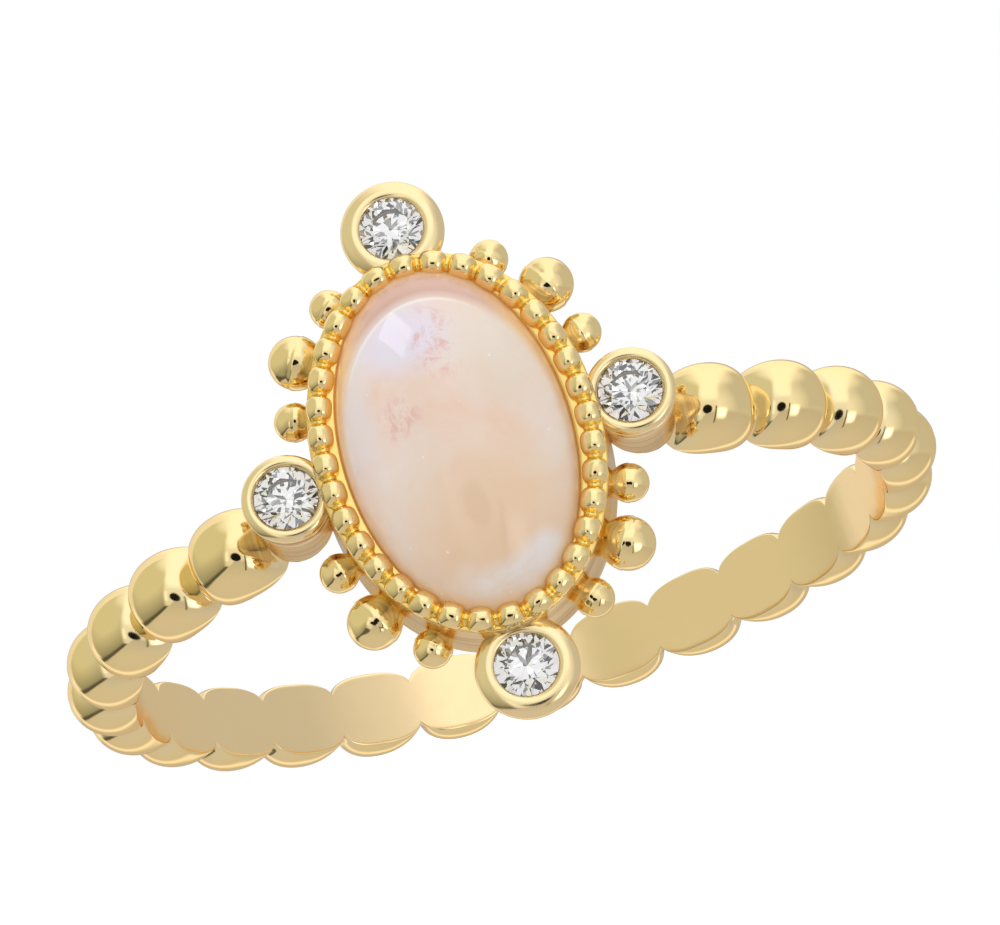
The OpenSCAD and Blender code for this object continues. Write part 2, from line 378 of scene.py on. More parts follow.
# The stone has these half widths and its flat base at BASE_Z. Its straight edge ends at EDGE_Z, its dome
# rises from there, and PLAY is the gap round it.
STONE = np.array([2.5, 4.0])
BASE_Z = 9.45
EDGE_Z = 9.85
DOME = 2.3
PLAY = 0.04
BRUSHED_PALE = (0.92, 0.74, 0.46, 1)
BRUSHED_RICH = (0.64, 0.46, 0.25, 1)
DEEP_PALE = (0.97, 0.72, 0.30, 1)
DEEP_RICH = (0.97, 0.70, 0.20, 1)
brushed_finish = gold_finish("Brushed gold", BRUSHED_PALE, BRUSHED_RICH, smooth=0.18, dull=0.28,
                             grain=(0.3, 0.3, 7), depth=0.002, streaky=0.8)
brushed = gold_material("brushed_gold", brushed_finish)
deep_finish = gold_finish("Unpolished gold", DEEP_PALE, DEEP_RICH, smooth=0.14, dull=0.26,
                          grain=(9, 9, 14), depth=0.002)
deep_gold = gold_material("unpolished_gold", deep_finish)


def oval(half, height):
    """Ring of points round an oval with these half widths, at one height or one height per point."""
    t = np.arange(OVAL_POINTS) / OVAL_POINTS * 2 * np.pi
    height = np.broadcast_to(height, OVAL_POINTS)
    return np.stack([half[0] * np.cos(t), half[1] * np.sin(t), height], -1)


def flared(height, inset=0.0):
    """Ring of points round the cup's wall, which widens evenly from the rim down."""
    ring = oval(CUP - inset, height)
    ring[:, :2] *= 1 + WALL_FLARE * (RIM_Z - ring[:, 2:]) / (RIM_Z - WALL_FOOT_Z)
    return ring


def beside_stone(z):
    """Half widths of the hollow for the stone at a height: an ellipse's, as the dome has, but with the
    play round it."""
    return (STONE + PLAY) * np.sqrt(1 - ((z - EDGE_Z) / (DOME + PLAY)) ** 2)


def cup():
    """Grid of the cup: ovals from the middle of the hollowed underside out to its edge, up the
    wall and over the rim, down beside the stone and in over the floor. Also the numbers of the
    first row of the wall and the first on the rim."""
    rows = []
    share_of_flare = 0.8
    foot = oval(CUP * (1 + WALL_FLARE * share_of_flare), 0)
    for share in np.concatenate([np.linspace(0.03, 0.93, 16), [0.97, 0.99]]):
        ring = foot * share
        ring[:, 2] = np.sqrt(UNDER_R ** 2 - ring[:, 0] ** 2)
        rows.append(ring)
    low = np.sqrt(UNDER_R ** 2 - foot[:, 0] ** 2)
    for inset, rise in ((0.02, 0.005), (0.006, 0.02), (0.0, FOOT_ROUND)):
        rows.append(flared(low + rise, inset))
    wall = len(rows)
    for share in np.linspace(0.05, 1, 14):
        rows.append(flared(low + FOOT_ROUND + (RIM_Z - RIM_ROUND - low - FOOT_ROUND) * share))
    rim = len(rows)
    for inset, z in ((0.006, RIM_Z - 0.025), (0.02, RIM_Z - 0.007), (0.05, RIM_Z)):
        rows.append(flared(z, inset))
    for out, z in ((0.06, RIM_Z), (0.02, RIM_Z - 0.005), (-0.02, RIM_Z - 0.02), (-0.03, RIM_Z - 0.04)):
        rows.append(oval(beside_stone(z) + out, z))
    for z in np.linspace(RIM_Z - 0.1, EDGE_Z, 6):
        rows.append(oval(beside_stone(z), z))
    rows.append(oval(STONE + PLAY, BASE_Z - PLAY))
    for share in (0.8, 0.5, 0.2):
        rows.append(oval(STONE * share, BASE_Z - PLAY))
    return np.stack(rows), wall, rim


bowl, wall_row, rim_row = cup()
finish = np.zeros((len(bowl) - 1, bowl.shape[1]), int)
finish[:wall_row] = 2
finish[rim_row:] = 1
put_in("cup", [bowl], [brushed, deep_gold, satin], "gold_mount", finish=finish)


# Beaded edge: a row of small cast balls, close together on a thin wire round the rim. Their surface
# is a little uneven. The wire between them, which the polish does not reach, is rougher and painted a
# deeper orange for the shade there.
GRAINS = 34
GRAIN_LINE = np.array([2.76, 3.94])
GRAIN_R = 0.275
GRAIN_WIRE_R = 0.165
GRAIN_Z = RIM_Z + 0.056
GRAIN_ROWS = 26
GRAIN_POINTS = 28


def beaded_edge():
    """Grid of the beaded edge: round sections along the oval, whose radius follows the row of
    balls. The balls are spaced evenly along the line, and the first sits at the upper end."""
    place = np.tile(bunched(GRAIN_ROWS), GRAINS)
    fine = np.linspace(0, 2 * np.pi, 7201)
    line = np.stack([GRAIN_LINE[0] * np.cos(fine), GRAIN_LINE[1] * np.sin(fine)], -1)
    run = np.concatenate([[0], np.cumsum(np.linalg.norm(np.diff(line, axis=0), axis=1))])
    share = (np.arange(GRAINS).repeat(GRAIN_ROWS) + place / 2) / GRAINS + 0.25
    t = np.interp(share % 1 * run[-1], run, fine)
    radius = rounded_row(place, GRAIN_R, GRAIN_WIRE_R, reach=0.94, squareness=2.8)
    path = np.stack([GRAIN_LINE[0] * np.cos(t), GRAIN_LINE[1] * np.sin(t), np.full(len(t), GRAIN_Z)], -1)
    across = np.stack([np.cos(t) / GRAIN_LINE[0], np.sin(t) / GRAIN_LINE[1], 0 * t], -1)
    across /= np.linalg.norm(across, axis=1)[:, None]
    b = np.arange(GRAIN_POINTS) / GRAIN_POINTS * 2 * np.pi
    sink = np.array([0, 0, 1.0]) * (radius - GRAIN_R)[:, None] * 0.6
    side = (radius[:, None] * np.cos(b))[..., None] * across[:, None]
    rise = (radius[:, None] * np.sin(b))[..., None] * np.array([0, 0, 1.0])
    return (path + sink)[:, None] + side + rise


cast_finish = gold_finish("Cast gold", PALE, RICH, smooth=0.04, dull=0.1, grain=(9, 60, 14),
                          depth=0.0003, wave=0.18)
# in the gaps the colour is a deeper orange, painted shade where the gold mirrors itself; the extra
# roughness is the unpolished gold
cast_gold = gold_material("cast_gold", cast_finish, in_gaps=DEEP_RICH)
grains = put_in("beaded_edge", [beaded_edge()], [cast_gold], "gold_mount", loop=True)
nearness = rising(np.abs(np.tile(bunched(GRAIN_ROWS), GRAINS)), 0.6, 0.9)
mark_gaps(grains, nearness, GRAIN_POINTS)


# End collets: two thick round collets turned from gold, one at each end of the oval. A domed lip
# is pressed over the brilliant.
GIRDLE_Z = 10.23
END_REACH = 4.95
TURNED_POINTS = 96

# Sizes of the profile, from the collet's axis and the level of the brilliant's girdle: the foot's flat
# radius, full radius and height, then the places and radii of its rounded edges
END_FOOT = (0.5, 0.62, -1.25)
FOOT_EDGE_R = 0.06
END_LIP = (0.8, -0.2)
END_LIP_R = 0.3
LIP_INSIDE = (0.672, 0.06)


def arc(middle, radius, start, end, n):
    """Points of a circular arc in a profile, by angles in degrees."""
    t = np.radians(np.linspace(start, end, n))
    return np.stack([middle[0] + radius * np.cos(t), middle[1] + radius * np.sin(t)], -1)


def straight(start, end, n):
    """Points from start towards end, both left out."""
    s = (np.arange(n)[:, None] + 1) / (n + 1)
    return np.array(start) * (1 - s) + np.array(end) * s


def turned(profile, place):
    """Grid of a turned shape: a profile of (radius, height) points round an upright axis at a place."""
    t = np.arange(TURNED_POINTS) / TURNED_POINTS * 2 * np.pi
    r, z = np.asarray(profile)[:, :1], np.asarray(profile)[:, 1:]
    ones = np.ones((1, TURNED_POINTS))
    return np.stack([r * np.cos(t) + place[0], r * np.sin(t) + place[1], z * ones + place[2]], -1)


def collet_foot(flat_r, full_r, z, last):
    """Profile of a collet's foot, from near the middle out over its flat, and round its edge up to an
    angle in degrees."""
    middle = (full_r - FOOT_EDGE_R, z + FOOT_EDGE_R)
    return np.vstack([[[0.1, z], [flat_r, z]], arc(middle, FOOT_EDGE_R, -90, last, 5)])


def seat():
    """Profile of the hollow under a brilliant: (radius, height) points from the lip's opening down to
    the middle."""
    return np.array([LIP_INSIDE, [0.68, 0.05], [0.72, 0.06], [0.74, 0.04], [0.74, -0.04],
                     [0.4, -0.36], [0.06, -0.66]])


def end_collet():
    """Profile of an end collet, from the foot's middle out, up the cone, over the domed lip and down
    into the seat."""
    return np.vstack([
        collet_foot(*END_FOOT, -21),
        straight((0.62, -1.2), (1.06, -0.36), 8),
        arc(END_LIP, END_LIP_R, -22, 105, 22),
        straight((0.72, 0.085), LIP_INSIDE, 1),
        seat(),
    ])


LIP_PALE = (1.0, 0.81, 0.47, 1)
LIP_RICH = (0.98, 0.78, 0.42, 1)
lip_finish = gold_finish("Burnished gold", LIP_PALE, LIP_RICH, smooth=0.14, dull=0.22,
                         grain=(9, 9, 14), depth=0.0005)
burnished = gold_material("burnished_gold", lip_finish)
ends = [turned(end_collet(), (0, side * END_REACH, GIRDLE_Z)) for side in (1, -1)]
put_in("end_collets", ends, [burnished], "gold_mount")


# Shoulder collets: two taller collets on the shoulders, with a thin polished lip on a brushed body
# that is soldered to the cup and to the first bead.
SHOULDER_REACH = 3.74
SHOULDER_FOOT = (0.7, 0.78, -2.3)
SHOULDER_LIP = (0.79, -0.03)
SHOULDER_LIP_R = 0.16


def shoulder_lip():
    """Profile of a shoulder collet's lip, from the middle of the bowl under it that holds the brilliant,
    out and over the rounded edge."""
    return np.vstack([
        [[0.05, -0.74], [0.44, -0.44], [0.8, -0.16]],
        arc(SHOULDER_LIP, SHOULDER_LIP_R, -60, 112, 18),
        seat(),
    ])


def shoulder_body():
    """Profile of a shoulder collet's body, from the foot's middle up the wall, in at a groove, out
    over a ring and back inside under the lip."""
    return np.vstack([
        collet_foot(*SHOULDER_FOOT, 0),
        straight((0.785, -2.2), (0.885, -0.5), 16),
        [[0.885, -0.46], [0.865, -0.42]],
        arc((0.87, -0.33), 0.045, -80, 80, 9),
        [[0.86, -0.25], [0.875, -0.2], [0.91, -0.14], [0.905, -0.12], [0.84, -0.1], [0.8, -0.2]],
        [[0.4, -0.8], [0.1, -0.9]],
    ])


def hollowed(grid):
    """Points inside the hollow of the head, lifted up to its surface."""
    low = np.sqrt(UNDER_R ** 2 - grid[..., 0] ** 2)
    lifted = grid.copy()
    lifted[..., 2] = np.maximum(grid[..., 2], low)
    return lifted


sides = [(side * SHOULDER_REACH, 0, GIRDLE_Z) for side in (1, -1)]
bodies = [hollowed(turned(shoulder_body(), at)) for at in sides]
put_in("shoulder_bodies", bodies, [brushed], "gold_mount")
lips = [turned(shoulder_lip(), at) for at in sides]
put_in("shoulder_lips", lips, [burnished], "gold_mount")


# Granulation: small cast balls on short flared stems, soldered to the wall between the collets. Each
# quarter of the oval has a large one between two small ones.
BALL_Z = RIM_Z - 0.9
STEM_REACH = 0.34
BALL_ROWS = 18
STEM_ROWS = 26
BALL_POINTS = 48
GRANULES = [
    # place across, place along, radius of the ball, of the stem, of its foot
    (1.76, 3.87, 0.41, 0.25, 0.34),
    (2.76, 2.96, 0.57, 0.34, 0.46),
    (3.16, 1.72, 0.41, 0.25, 0.34),
]


def granule(x, y, ball, stem, foot):
    """Grid of a granule: a ball that narrows to a stem and flares again into the wall, turned
    about a level axis that points at the oval's long axis. Its radius is the smooth maximum of
    the ball's circle and the stem's line."""
    inward = np.array([0, 0.45 * y, 0]) - np.array([x, y, 0])
    inward /= np.linalg.norm(inward)
    side = np.cross([0, 0, 1.0], inward)
    reach = ball + STEM_REACH
    s = -ball * np.cos(np.linspace(0.06, np.pi / 2, BALL_ROWS))
    s = np.concatenate([s, np.linspace(0, reach, STEM_ROWS)[1:]])
    round_part = np.sqrt(np.maximum(ball ** 2 - s ** 2, 0))
    neck = 0.8 * ball
    flare = stem + (foot - stem) * rising(s, neck, reach) ** 1.6
    crisp = 4
    radius = np.where(s > 0, (round_part ** crisp + flare ** crisp) ** (1 / crisp), round_part)
    t = np.arange(BALL_POINTS) / BALL_POINTS * 2 * np.pi
    circle = np.cos(t)[:, None] * side + np.sin(t)[:, None] * np.array([0, 0, 1.0])
    return np.array([x, y, BALL_Z]) + s[:, None, None] * inward + radius[:, None, None] * circle


grids = [granule(i * x, j * y, *rest) for i in (1, -1) for j in (1, -1) for x, y, *rest in GRANULES]
balls = put_in("granulation", grids, [cast_gold], "gold_mount")
# the stems take the gap colour: a painted deeper orange for the shade and the wall's reflection there
nearness = rising(np.linspace(0, 1, STEM_ROWS)[1:], 0.4, 0.55)
nearness = np.pad(nearness, (BALL_ROWS, 0))
mark_gaps(balls, nearness, BALL_POINTS, copies=len(grids))


# Moonstone: a natural peach moonstone, cut as an oval cabochon, polished and set in the cup. It is milky,
# with a painted blue sheen near one end and pink flecks. The milk ends a little inside the stone, and the
# clear skin outside it is painted with the cup's gold as seen through it, and with a faint painted glow.
MILK_DARK = (0.95, 0.68, 0.52, 1)
MILK_MIDDLE = (0.95, 0.76, 0.65, 1)
MILK_PALE = (0.93, 0.83, 0.76, 1)
CLOUDS_AND_SHEEN = [
    # middle across and along, half width, half height, strength, colour
    (0.4, -2.7, 3.0, 3.2, 0.7, (0.96, 0.69, 0.45, 1)),
    (1.3, 1.3, 1.3, 2.0, 0.55, (0.85, 0.82, 0.72, 1)),
    (-2.0, 0.8, 0.8, 1.9, 0.7, (0.84, 0.81, 0.84, 1)),
    # a painted blue sheen: light that the stone scatters back near its upper end
    (-0.5, 2.1, 1.5, 1.2, 0.85, (0.87, 0.84, 0.98, 1)),
]
FLECKED = [
    # middle across and along, half width, half height
    (0.15, 1.8, 0.7, 1.2),
    (-1.0, 0.4, 0.6, 0.6),
]
FLECK = (0.84, 0.50, 0.44, 1)
# colour of the painted glints
DOT = (1.0, 0.97, 0.95, 1)
# colour of a painted glow of light gathered inside the stone at its lower end
PAINTED_FOOT_GLOW = (0.97, 0.9, 0.88, 1)
# painted view of the cup's gold through the clear skin of the stone
PAINTED_CUP_SIDE = (0.82, 0.58, 0.35, 1)
PAINTED_CUP_TOP = (0.64, 0.41, 0.33, 1)
PAINTED_CUP_EDGE = (0.88, 0.58, 0.27, 1)
MILK_LINE = (1.0, 0.96, 0.92, 1)


def cabochon():
    """Grid of the cabochon: ovals out over the base, up the straight edge and over the dome, a half
    ellipsoid: by an angle, the widths follow its cosine and the height its sine."""
    rows = [oval(STONE * share, BASE_Z) for share in (0.2, 0.6, 0.93, 0.98)]
    rows += [oval(STONE * 0.995, BASE_Z + 0.015), oval(STONE, BASE_Z + 0.05)]
    rows += [oval(STONE, z) for z in np.linspace(BASE_Z + 0.1, EDGE_Z, 6)]
    for t in np.radians(np.linspace(0, 89, 60))[1:]:
        rows.append(oval(STONE * np.cos(t), EDGE_Z + DOME * np.sin(t)))
    return np.stack(rows)


def moonstone_material():
    """Polished milk in drifting peach tones, under clouds, a painted sheen, flecks and painted glints,
    with a painted glow near its lower end. It ends in an oval that has a pale line at its upper end;
    outside it the clear skin is painted with the cup's gold seen through it, and glows a little with
    painted light."""
    material, tree, gem = new_material("moonstone")
    at = own_directions(tree)

    def spread(x, y, wide, high):
        """Distance from a place on the stone, 1 at a half width across and a half height along."""
        off = vector_math(tree, "SUBTRACT", at, (x, y, 0))
        off = vector_math(tree, "MULTIPLY", off, (1 / wide, 1 / high, 0))
        return vector_math(tree, "LENGTH", off)

    def within(measure, start, level=1.0):
        """Mask at a level up to start of a measure, which falls softly to 0 where it is 1."""
        return ramp(tree, measure, [(start, level), (1.0, 0.0)], "EASE")

    mist = node(tree, "ShaderNodeTexNoise", Vector=at, Scale=0.5, Detail=7.0, Roughness=0.6,
                Distortion=0.5).outputs["Fac"]
    body = ramp(tree, mist, [(0.34, MILK_DARK), (0.5, MILK_MIDDLE), (0.66, MILK_PALE)])
    for x, y, wide, high, strength, colour in CLOUDS_AND_SHEEN:
        body = laid_over(tree, within(spread(x, y, wide, high), 0.27, strength), body, colour)
    streaks = vector_math(tree, "MULTIPLY", at, (1.3, 0.8, 1))
    fleck = node(tree, "ShaderNodeTexNoise", Vector=streaks, Scale=2.4, Detail=5.0, Roughness=0.75,
                 Distortion=0.4)
    fleck = ramp(tree, fleck.outputs["Fac"], [(0.49, 0.0), (0.62, 0.75)])
    for area in FLECKED:
        body = laid_over(tree, both(tree, fleck, within(spread(*area), 0.4)), body, FLECK)
    # painted glints: small white sparkles of reflected light in the stone's colour
    glints = node(tree, "ShaderNodeTexVoronoi", Vector=at, Scale=1.7, Randomness=1.0)
    glints = ramp(tree, glints.outputs["Distance"], [(0.035, 0.9), (0.06, 0.0)])
    body = laid_over(tree, glints, body, DOT)

    # the milk ends where its own measure is about 0.8, and the stone where the edge's is 1
    milk = spread(-0.01, -0.34, 2.84, 4.03)
    edge = spread(0, 0, *map(float, STONE))
    # a painted glow near the lower end of the milk, where light that enters the stone gathers
    foot = both(tree, ramp(tree, milk, [(0.62, 0.0), (0.72, 1.0)], "EASE"),
                within(spread(0.6, -3.1, 1.6, 0.8), 0.5))
    foot = both(tree, foot, ramp(tree, mist, [(0.36, 0.1), (0.55, 1.0)]))
    body = laid_over(tree, foot, body, PAINTED_FOOT_GLOW)
    # the clear skin is painted with the cup's gold as seen through it, darker towards the upper end, and
    # with the gold itself near the very edge
    clear = laid_over(tree, within(spread(0.2, 3.7, 2.8, 2.4), 0.5), PAINTED_CUP_SIDE, PAINTED_CUP_TOP)
    clear = laid_over(tree, ramp(tree, edge, [(0.87, 0.0), (0.98, 1.0)]), clear, PAINTED_CUP_EDGE)
    body = laid_over(tree, ramp(tree, milk, [(0.78, 0.0), (0.86, 1.0)]), body, clear)
    line = ramp(tree, milk, [(0.78, 0.0), (0.795, 1.0), (0.802, 0.8), (0.812, 0.0)])
    line = both(tree, line, within(spread(-0.6, 3.0, 2.4, 2.0), 0.4, 0.8))
    body = laid_over(tree, line, body, MILK_LINE)
    # painted reflection of the cup's gold right along the stone's edge
    body = laid_over(tree, ramp(tree, edge, [(0.93, 0.0), (0.985, 1.0)]), body, PAINTED_CUP_EDGE)
    tree.links.new(body, gem.inputs["Base Color"])
    haze = node(tree, "ShaderNodeMapRange", Value=mist, To_Min=0.02, To_Max=0.06)
    tree.links.new(haze.outputs[0], gem.inputs["Roughness"])
    gem.inputs["IOR"].default_value = 1.52
    gem.inputs["Transmission Weight"].default_value = 0.12
    gem.inputs["Subsurface Weight"].default_value = 0.4
    gem.inputs["Subsurface Radius"].default_value = (1.0, 0.7, 0.55)
    gem.inputs["Subsurface Scale"].default_value = 0.5 * MM
    # painted glow: outside the milk the stone gives off a little light in its own colour
    skin = ramp(tree, milk, [(0.0, 0.1), (0.78, 0.15), (0.9, 1.0)])
    tree.links.new(laid_over(tree, skin, (0, 0, 0, 1), body), gem.inputs["Emission Color"])
    gem.inputs["Emission Strength"].default_value = 0.2
    return material


stone = put_in("cabochon", [cabochon()], [moonstone_material()], "moonstone")


# Diamonds: four small colourless round brilliants, each with a table, 32 more crown facets, a polished
# girdle and 24 pavilion facets. The lip of its collet holds each of them.
BRILLIANT_R = 0.7

# Shares of the radius: the girdle's thickness, the crown's height and the pavilion's depth, and how far
# out the corners of the table, the tips of the stars and those of the lower halves lie
GIRDLE, CROWN, PAVILION = 0.06, 0.3, 0.84
TABLE_OUT, STARS_OUT, LOWER_OUT = 0.56, 0.76, 0.24

# How far each is turned in its collet, in degrees
TURNS = {"north": 9, "east": 4, "south": 16, "west": 0}
WHITE = (1, 1, 1, 1)
COOL_WHITE = (0.97, 0.98, 1.0, 1)


def facet_ring(n, r, z, start=0.0):
    """Ring of n points of radius r at height z, the first at an angle in degrees."""
    t = np.radians(start + np.arange(n) * 360 / n)
    return np.stack([r * np.cos(t), r * np.sin(t), np.full(n, z)], -1)


def brilliant(turn):
    """Points, quads and triangles of a brilliant, its girdle round the origin. Rings of 8 points lie
    round the table, at the tips of the stars and low on the pavilion, and rings of 16 on the two
    edges of the girdle. The tips lie at the heights that keep the main facets flat."""
    r = BRILLIANT_R
    top, crown, deep, half = GIRDLE * r, CROWN * r, PAVILION * r, np.cos(np.radians(22.5))
    star_z = top + crown * (1 - STARS_OUT * half) / (1 - TABLE_OUT)
    points = np.vstack([
        facet_ring(8, TABLE_OUT * r, top + crown, turn),
        facet_ring(8, STARS_OUT * r, star_z, turn + 22.5),
        facet_ring(16, r, top, turn),
        facet_ring(16, r, 0, turn),
        facet_ring(8, LOWER_OUT * r, -deep * (1 - LOWER_OUT * half), turn + 22.5),
        [[0, 0, -deep]],
        [[0, 0, top + crown]],
    ])
    i, j = np.arange(8), np.arange(16)
    table, star, upper, under, low, culet, middle = 0, 8, 16, 32, 48, 56 + 0 * i, 57 + 0 * i
    after, before = (i + 1) % 8, (i + 7) % 8
    tris = np.vstack([
        np.stack([middle, table + i, table + after], -1),
        np.stack([table + i, star + i, table + after], -1),
        np.stack([star + i, upper + 2 * i, upper + 2 * i + 1], -1),
        np.stack([star + i, upper + 2 * i + 1, upper + (2 * i + 2) % 16], -1),
        np.stack([low + i, under + 2 * i + 1, under + 2 * i], -1),
        np.stack([low + i, under + (2 * i + 2) % 16, under + 2 * i + 1], -1),
    ])
    quads = np.vstack([
        np.stack([table + i, star + before, upper + 2 * i, star + i], -1),
        np.stack([upper + j, under + j, under + (j + 1) % 16, upper + (j + 1) % 16], -1),
        np.stack([culet, low + i, under + 2 * i, low + before], -1),
    ])
    return points, quads, tris


def diamond_material():
    """Clear glass with a diamond's refraction, and cloudy traces of dust and wear."""
    material, tree, glass = new_material("diamond")
    at = own_directions(tree)
    dust = node(tree, "ShaderNodeTexNoise", Vector=at, Scale=2.2, Detail=4.0)
    tint = ramp(tree, dust.outputs["Fac"], [(0.3, COOL_WHITE), (0.7, WHITE)])
    tree.links.new(tint, glass.inputs["Base Color"])
    wear = node(tree, "ShaderNodeMapRange", Value=dust.outputs["Fac"], To_Min=0.0, To_Max=0.012)
    tree.links.new(wear.outputs[0], glass.inputs["Roughness"])
    glass.inputs["IOR"].default_value = 2.417
    glass.inputs["Transmission Weight"].default_value = 1
    return material


icy = diamond_material()
seats = {"north": (0, END_REACH, GIRDLE_Z), "east": (SHOULDER_REACH, 0, GIRDLE_Z),
         "south": (0, -END_REACH, GIRDLE_Z), "west": (-SHOULDER_REACH, 0, GIRDLE_Z)}
for name, place in seats.items():
    points, quads, tris = brilliant(TURNS[name])
    put_in_faces("brilliant_" + name, points + place, quads, tris, [icy], "diamond_" + name,
                 smooth=False)


# Camera: a long lens, 15 cm from the ring and just above the table. It faces the head and leans, so that
# the finger axis points up and to the left in the picture.
LENS = 243.35
CAMERA_AT = np.array([1.3784, -148.8688, 0.3499]) * MM
CAMERA_TURN, CAMERA_RISE, CAMERA_LEAN = np.radians((0.271, -2.0245, -17.4125))


def aim(place, target):
    """Matrix of a light or camera at a place, looking at a target."""
    back = np.array(place, float) - np.array(target, float)
    back /= np.linalg.norm(back)
    right = np.cross((0, 0, 1.0), back)
    right /= np.linalg.norm(right)
    up = np.cross(back, right)
    return Matrix([[right[k], up[k], back[k], place[k]] for k in range(3)] + [[0, 0, 0, 1]])


camera_data = bpy.data.cameras.new("camera")
camera_data.sensor_width = 36
camera_data.lens = LENS
camera_data.clip_start = 0.001
camera_data.clip_end = 10
camera = bpy.data.objects.new("camera", camera_data)
bpy.context.collection.objects.link(camera)
back = np.array([np.sin(CAMERA_TURN) * np.cos(CAMERA_RISE), -np.cos(CAMERA_TURN) * np.cos(CAMERA_RISE),
                 np.sin(CAMERA_RISE)])
stand = aim(CAMERA_AT, CAMERA_AT - back) @ Matrix.Rotation(CAMERA_LEAN, 4, "Z")
camera.matrix_world = stand
bpy.context.scene.camera = camera
bpy.context.scene.view_settings.view_transform = "Standard"


# Floor and light: a plain white table inside a white tent. The gold mirrors the tent's panels alone,
# also where the table would be, as if the table were as bright as they are.
def floor_material():
    """White paper with a faint grain that also glows a little to the camera. Mirrors look through it."""
    material, tree, paper = new_material("floor")
    at = node(tree, "ShaderNodeTexCoord").outputs["Object"]
    grain = node(tree, "ShaderNodeTexNoise", Vector=at, Scale=900.0, Detail=3.0)
    tone = ramp(tree, grain.outputs["Fac"], [(0.0, 0.7), (1.0, 0.74)])
    tree.links.new(tone, paper.inputs["Base Color"])
    paper.inputs["Roughness"].default_value = 0.6
    paper.inputs["Specular IOR Level"].default_value = 0.0
    paper.inputs["Emission Color"].default_value = WHITE
    ray = node(tree, "ShaderNodeLightPath")
    glow = both(tree, ray.outputs["Is Camera Ray"], 0.45)
    tree.links.new(glow, paper.inputs["Emission Strength"])
    clear = node(tree, "ShaderNodeBsdfTransparent")
    either = node(tree, "ShaderNodeMixShader", i0=ray.outputs["Is Glossy Ray"], i1=paper.outputs[0],
                  i2=clear.outputs[0])
    tree.links.new(either.outputs[0], tree.nodes["Material Output"].inputs["Surface"])
    return material


floor_mesh = bpy.data.meshes.new("floor")
span = 1.5
corners = [(-span, -span, 0), (span, -span, 0), (span, span, 0), (-span, span, 0)]
floor_mesh.from_pydata(corners, [], [(0, 1, 2, 3)])
floor_mesh.materials.append(floor_material())
floor = bpy.data.objects.new("floor", floor_mesh)
bpy.context.collection.objects.link(floor)
floor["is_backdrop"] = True


def softbox(name, place, wide, high, radiance):
    """Rectangular area light that looks at the ring, with its size and place in metres. The polish
    does not mirror it."""
    light = bpy.data.lights.new(name, "AREA")
    light.shape = "RECTANGLE"
    light.size, light.size_y, light.energy = wide, high, radiance * np.pi * wide * high
    made = bpy.data.objects.new(name, light)
    made.matrix_world = aim(place, (0, -0.004, 0.005))
    bpy.context.collection.objects.link(made)
    made.visible_camera = False
    made.visible_glossy = False
    return made


softbox("key", (-0.1, -0.26, 0.3), wide=0.16, high=0.1, radiance=1.6)
softbox("rim", (0.3, 0.05, 0.16), wide=0.1, high=0.16, radiance=1.2)

# a pale blue window, which the moonstone alone mirrors
window = softbox("window", (-0.085, -0.04, 0.233), wide=0.115, high=0.07, radiance=2.4)
window.data.color = (0.72, 0.78, 1.0)
window.visible_glossy = True
window.visible_diffuse = False
window.visible_transmission = False
stone_only = bpy.data.collections.new("stone_only")
stone_only.objects.link(stone)
window.light_linking.receiver_collection = stone_only

world = bpy.data.worlds.new("tent")
bpy.context.scene.world = world
world.use_nodes = True
tree = world.node_tree
tree.nodes.clear()


def between(value, low, high, soft):
    """1 where the value lies between low and high, with soft edges."""
    masks = []
    for edge, flip in ((low, 0.0), (high, 1.0)):
        made = node(tree, "ShaderNodeMapRange", {"interpolation_type": "SMOOTHSTEP"}, Value=value,
                    From_Min=edge - soft, From_Max=edge + soft, To_Min=flip, To_Max=1 - flip)
        masks.append(made.outputs[0])
    return both(tree, masks[0], masks[1])


def slope(value, low, high, at_low, at_high):
    """Runs evenly from one level to another between two values."""
    return node(tree, "ShaderNodeMapRange", Value=value, From_Min=low, From_Max=high, To_Min=at_low,
                To_Max=at_high).outputs[0]


def area(measure, sides, heights, soft):
    """Mask of a part of the tent, between two values of a sideways measure and two heights."""
    return both(tree, between(measure, *sides, soft), between(height, *heights, soft))


def panel(under, level, measure, sides, heights, soft):
    """Lays a panel of some brightness over a part of the tent."""
    return blend(tree, area(measure, sides, heights, soft), under, level)


# Measures of a direction in the tent, all but the bearing from -1 to 1: across to the right, height, and
# nearness to the camera, as the camera sees them; the bearing from the camera round to the right, in
# radians; and the slant towards the lower right.
ray = node(tree, "ShaderNodeLightPath")
way = node(tree, "ShaderNodeTexCoord").outputs["Generated"]
across, height, near = (vector_math(tree, "DOT_PRODUCT", way, stand.col[k][:3]) for k in range(3))
bearing = node(tree, "ShaderNodeMath", {"operation": "ARCTAN2"}, i0=across, i1=near).outputs[0]
slanting = np.array(stand.to_3x3()) @ (0.775, -0.63, -0.066)
slant = vector_math(tree, "DOT_PRODUCT", way, tuple(slanting))

# the wall on the right, and the one on the left with a dark slit above the table
tent = slope(height, -0.9, 0.9, 0.74, 0.98)
right_wall = slope(near, 0.2, 0.9, 0.6, 0.98)
tent = panel(tent, right_wall, bearing, sides=(0.4, 3.4), heights=(-0.15, 0.8), soft=0.15)
LEFT = {"sides": (-2.2, -0.46), "heights": (-1.2, 0.85), "soft": 0.1}
left_wall = slope(slant, -0.75, -0.1, 0.69, 0.3)
tent = panel(tent, left_wall, bearing, **LEFT)
tent = panel(tent, 0.1, slant, sides=(-0.12, 0.0), heights=(-0.82, -0.42), soft=0.05)

# the lamp above the camera, and a narrow one to its left
tent = panel(tent, 1.18, across, sides=(-0.3, 0.38), heights=(0.42, 2.0), soft=0.12)
tent = panel(tent, 1.1, bearing, sides=(-0.43, -0.31), heights=(-0.2, 0.22), soft=0.04)

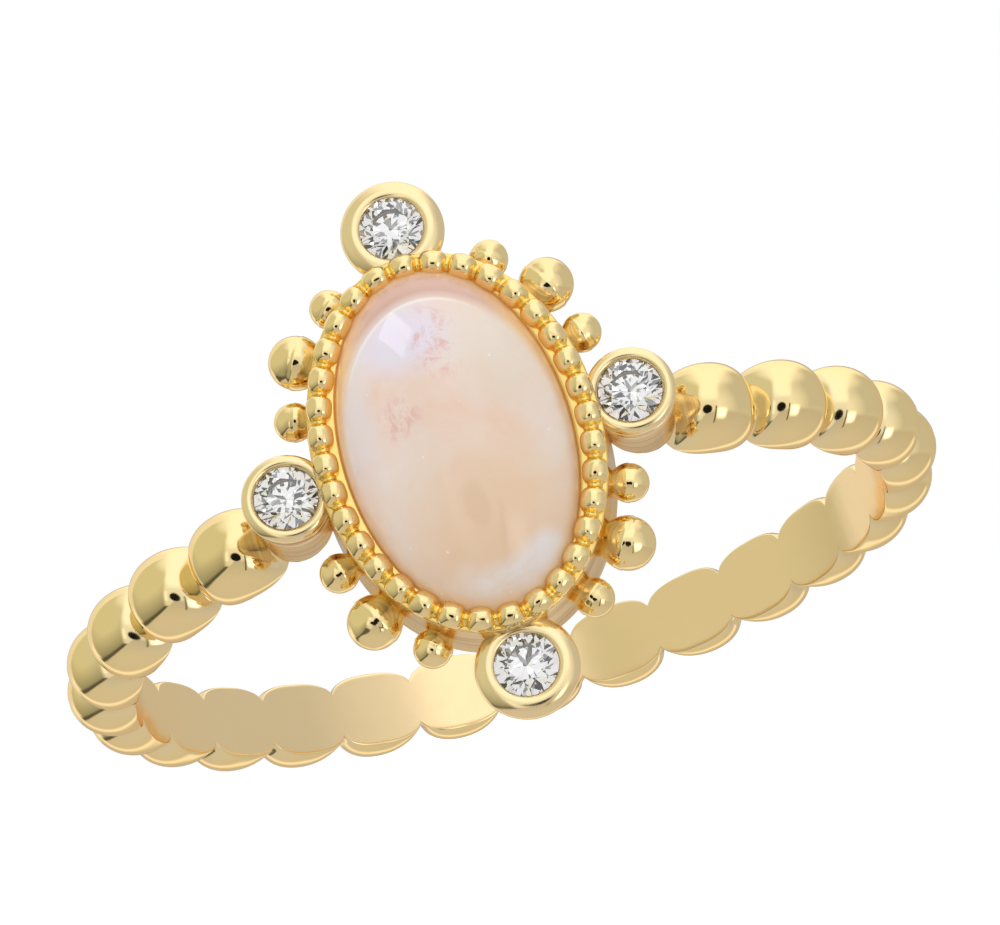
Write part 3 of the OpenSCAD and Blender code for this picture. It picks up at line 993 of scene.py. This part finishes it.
# the table, with a low lamp and a dark slit to the right of the camera
table = both(tree, between(slant, 0.0, 2.0, 0.03), between(height, -2.0, -0.12, 0.1))
tent = blend(tree, table, tent, slope(height, -0.9, -0.1, 0.67, 0.56))
tent = panel(tent, 2.2, bearing, sides=(0.48, 0.82), heights=(-0.36, -0.02), soft=0.12)
tent = panel(tent, 0.06, bearing, sides=(0.36, 0.42), heights=(-0.55, 0.12), soft=0.03)

# the black oval of the camera's own opening
LENS_WIDE, LENS_HIGH = 0.22, 0.18
lens = node(tree, "ShaderNodeCombineXYZ", X=bearing, Y=height).outputs[0]
lens = vector_math(tree, "LENGTH", vector_math(tree, "MULTIPLY", lens, (1 / LENS_WIDE, 1 / LENS_HIGH, 0)))
tent = blend(tree, between(lens, -1.0, 1.0, 0.12), tent, 0.01)

# behind the ring, a low lamp that lights the edges and a grey middle
tent = panel(tent, 1.1, near, sides=(-0.76, -0.62), heights=(-1.2, -0.22), soft=0.08)
tent = panel(tent, 0.5, near, sides=(-2.0, -0.95), heights=(-2.0, 2.0), soft=0.03)

# light and dark patches for the brilliants to bend, and even white for dull surfaces and the camera
sparkle = node(tree, "ShaderNodeTexNoise", Vector=way, Scale=5.0, Detail=2.0)
sparkle = ramp(tree, sparkle.outputs["Fac"], [(0.0, 0.02), (0.41, 0.3), (0.45, 1.0)], "CONSTANT")
tent = blend(tree, ray.outputs["Is Transmission Ray"], tent, sparkle)
tent = blend(tree, ray.outputs["Is Diffuse Ray"], tent, 0.95)
tent = blend(tree, ray.outputs["Is Camera Ray"], tent, 1.0)

# mirrors see the left wall yellowish and the table rosy
WALL_TINT = (1, 0.99, 0.82, 1)
TABLE_TINT = (1, 0.95, 0.93, 1)
tint = laid_over(tree, area(bearing, **LEFT), WHITE, WALL_TINT)
tint = laid_over(tree, table, tint, TABLE_TINT)
tint = laid_over(tree, ray.outputs["Is Glossy Ray"], WHITE, tint)
sky = node(tree, "ShaderNodeBackground", Color=tint, Strength=tent)
node(tree, "ShaderNodeOutputWorld", Surface=sky.outputs[0])

boxes = {"cad": cad_box, "visual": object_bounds()}
boxes = {name: [[float(v) for v in corner] for corner in box] for name, box in boxes.items()}
